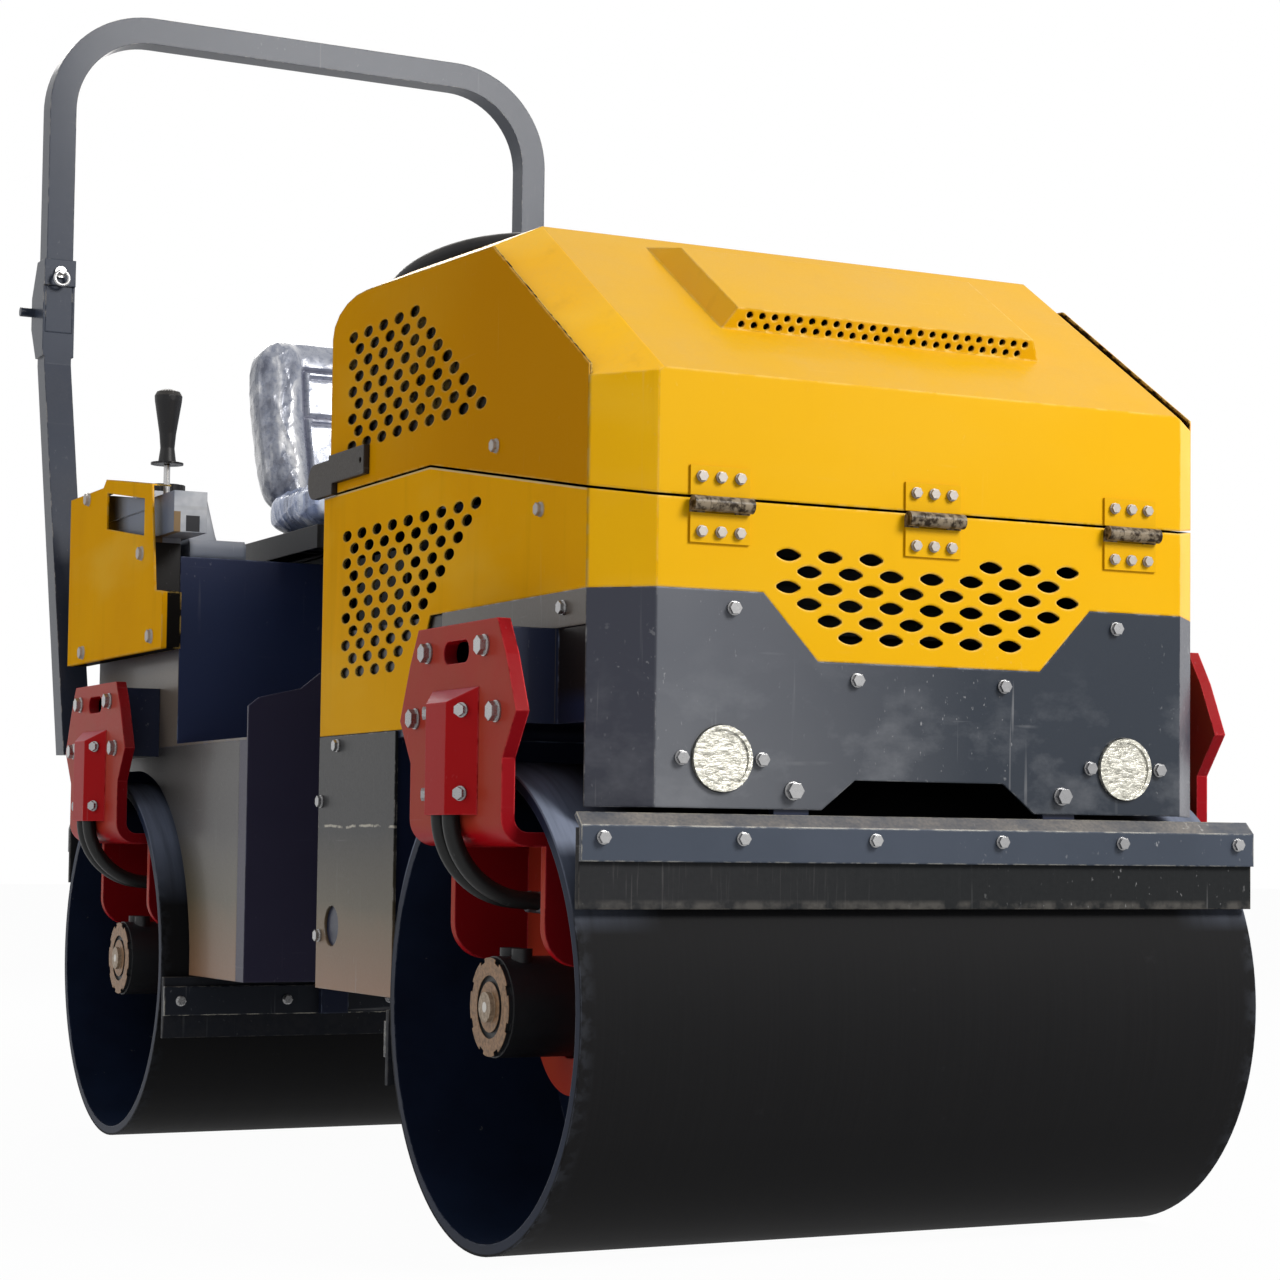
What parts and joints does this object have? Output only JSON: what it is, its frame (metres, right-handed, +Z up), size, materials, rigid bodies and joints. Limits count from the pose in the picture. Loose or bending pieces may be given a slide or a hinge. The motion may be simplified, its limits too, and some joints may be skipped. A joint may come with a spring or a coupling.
{
  "type": "ride-on tandem road roller",
  "caption": "Ride-on tandem vibratory road roller with two steel drums, tilting yellow hood, red drum hangers, operator seat, steering wheel and folding roll bar.",
  "frame": {"origin": "on the ground, under the middle of the machine's overall length and width", "axes": "+Z up; -Y towards the hood, the driving direction; +X to the machine's left as the seated operator sees it, which is the right side seen from in front"},
  "size_m": [1.004, 2.2945, 1.928],
  "materials": {
    "hood_paint": "glossy yellow paint",
    "frame_paint": "glossy dark navy paint",
    "panel_paint": "glossy dark grey paint",
    "hanger_paint": "glossy red paint",
    "bar_paint": "satin blue-grey paint",
    "drum_paint": "satin black paint on steel",
    "zinc": "zinc plated",
    "scraper_steel": "grey paint",
    "motor": "black casting",
    "rubber": "black rubber",
    "plastic_black": "matt black",
    "tank_plastic": "moulded grey",
    "seat_vinyl": "seat vinyl under a clear film",
    "lamp_glass": "clear lens over a bright reflector",
    "engine_iron": "painted casting"
  },
  "bodies": {
    "rear_module": {"rear_frame": "frame_paint", "rear_bulkhead": "frame_paint", "seat_box": "panel_paint", "rear_hangers": "hanger_paint", "rear_hose_covers": "hanger_paint", "rear_drum_hoses": "rubber", "rear_drum_motors": "motor", "rear_rubber_mounts": "rubber", "rear_scraper_bars": "scraper_steel", "rear_scraper_blades": "rubber", "rear_bolts": "zinc", "roll_bar_posts": "bar_paint", "console_cover": "hood_paint", "control_box": "plastic_black", "water_tank": "tank_plastic", "seat_rails": "plastic_black", "steering_tower": "plastic_black", "steering_cylinder": "motor"},
    "yoke": {"center_yoke": "frame_paint"},
    "front_module": {"front_frame": "frame_paint", "front_hangers": "hanger_paint", "front_hose_covers": "hanger_paint", "front_drum_hoses": "rubber", "front_drum_motors": "motor", "front_rubber_mounts": "rubber", "front_scraper_bars": "scraper_steel", "front_scraper_blades": "rubber", "front_bolts": "zinc", "front_apron": "panel_paint", "front_skirts": "panel_paint", "lower_hood_front": "hood_paint", "lower_hood_sides": "hood_paint", "headlamps": "lamp_glass", "engine": "engine_iron", "radiator": "plastic_black", "fuel_tank": "plastic_black", "battery": "plastic_black", "muffler": "zinc", "hydraulic_pump": "motor", "hinge_lower_leaves": "hood_paint"},
    "hood": {"upper_hood": "hood_paint", "upper_hood_sides": "hood_paint", "hinge_upper_leaves": "hood_paint"},
    "latch_left": {"latch_left": "rubber"},
    "latch_right": {"latch_right": "rubber"},
    "front_drum": {"front_drum": "drum_paint"},
    "rear_drum": {"rear_drum": "drum_paint"},
    "front_eccentric": {"front_eccentric": "zinc"},
    "rear_eccentric": {"rear_eccentric": "zinc"},
    "roll_bar_hoop": {"roll_bar_hoop": "bar_paint"},
    "lock_pin_left": {"lock_pin_left": "zinc"},
    "lock_pin_right": {"lock_pin_right": "zinc"},
    "travel_lever": {"travel_lever": "zinc", "lever_grip": "plastic_black"},
    "tank_cap": {"tank_cap": "plastic_black"},
    "seat": {"seat_base": "plastic_black", "seat_cushion": "seat_vinyl", "seat_backrest": "seat_vinyl"},
    "steering_wheel": {"steering_wheel": "plastic_black"},
    "steering_rod": {"steering_rod": "zinc"}
  },
  "joints": [
    {"name": "steer", "type": "hinge", "parent": "rear_module", "child": "yoke", "pos_m": [0, -0.10125, 0.39], "axis": [0, 0, 1], "range_deg": [-30, 30]},
    {"name": "oscillation", "type": "hinge", "parent": "yoke", "child": "front_module", "pos_m": [0, -0.10125, 0.39], "axis": [0, 1, 0], "range_deg": [-8, 8]},
    {"name": "front_drum_spin", "type": "hinge", "parent": "front_module", "child": "front_drum", "pos_m": [0, -0.86325, 0.28], "axis": [1, 0, 0], "continuous": true},
    {"name": "rear_drum_spin", "type": "hinge", "parent": "rear_module", "child": "rear_drum", "pos_m": [0, 0.66075, 0.28], "axis": [1, 0, 0], "continuous": true},
    {"name": "front_eccentric_spin", "type": "hinge", "parent": "front_module", "child": "front_eccentric", "pos_m": [0, -0.86325, 0.28], "axis": [1, 0, 0], "continuous": true},
    {"name": "rear_eccentric_spin", "type": "hinge", "parent": "rear_module", "child": "rear_eccentric", "pos_m": [0, 0.66075, 0.28], "axis": [1, 0, 0], "continuous": true},
    {"name": "hood_hinge", "type": "hinge", "parent": "front_module", "child": "hood", "pos_m": [0, -1.12675, 0.84], "axis": [1, 0, 0], "range_deg": [0, 75]},
    {"name": "latch_left_turn", "type": "hinge", "parent": "hood", "child": "latch_left", "pos_m": [-0.411, -0.36625, 0.966], "axis": [1, 0, 0], "range_deg": [0, 60]},
    {"name": "latch_right_turn", "type": "hinge", "parent": "hood", "child": "latch_right", "pos_m": [0.411, -0.36625, 0.966], "axis": [1, 0, 0], "range_deg": [0, 60]},
    {"name": "hoop_fold", "type": "hinge", "parent": "rear_module", "child": "roll_bar_hoop", "pos_m": [0, 1.13275, 1.392], "axis": [-1, 0, 0], "range_deg": [0, 110]},
    {"name": "lock_pin_left_pull", "type": "slide", "parent": "rear_module", "child": "lock_pin_left", "axis": [0, -1, 0], "range_m": [0, 0.02], "stiffness_N_per_m": 400},
    {"name": "lock_pin_right_pull", "type": "slide", "parent": "rear_module", "child": "lock_pin_right", "axis": [0, -1, 0], "range_m": [0, 0.02], "stiffness_N_per_m": 400},
    {"name": "travel_lever_swing", "type": "hinge", "parent": "rear_module", "child": "travel_lever", "pos_m": [-0.415, 0.50575, 0.984], "axis": [1, 0, 0], "range_deg": [-15, 15]},
    {"name": "tank_cap_turn", "type": "hinge", "parent": "rear_module", "child": "tank_cap", "pos_m": [-0.35, 0.72875, 1.0363], "axis": [0, 0, 1], "range_deg": [0, 90]},
    {"name": "seat_slide", "type": "slide", "parent": "rear_module", "child": "seat", "axis": [0, 1, 0], "range_m": [-0.06, 0.06]},
    {"name": "steering_wheel_turn", "type": "hinge", "parent": "rear_module", "child": "steering_wheel", "pos_m": [0, 0.13875, 1.306], "axis": [0, 0.309, 0.9511], "range_deg": [-360, 360]},
    {"name": "steering_rod_slide", "type": "slide", "parent": "rear_module", "child": "steering_rod", "axis": [0, -1, 0], "range_m": [-0.0395, 0.0395]}
  ],
  "couplings": [
    {"joint": "steering_wheel_turn", "follows": "steer", "ratio": 12},
    {"joint": "steering_rod_slide", "follows": "steer", "m_per_rad": 0.0745}
  ]
}
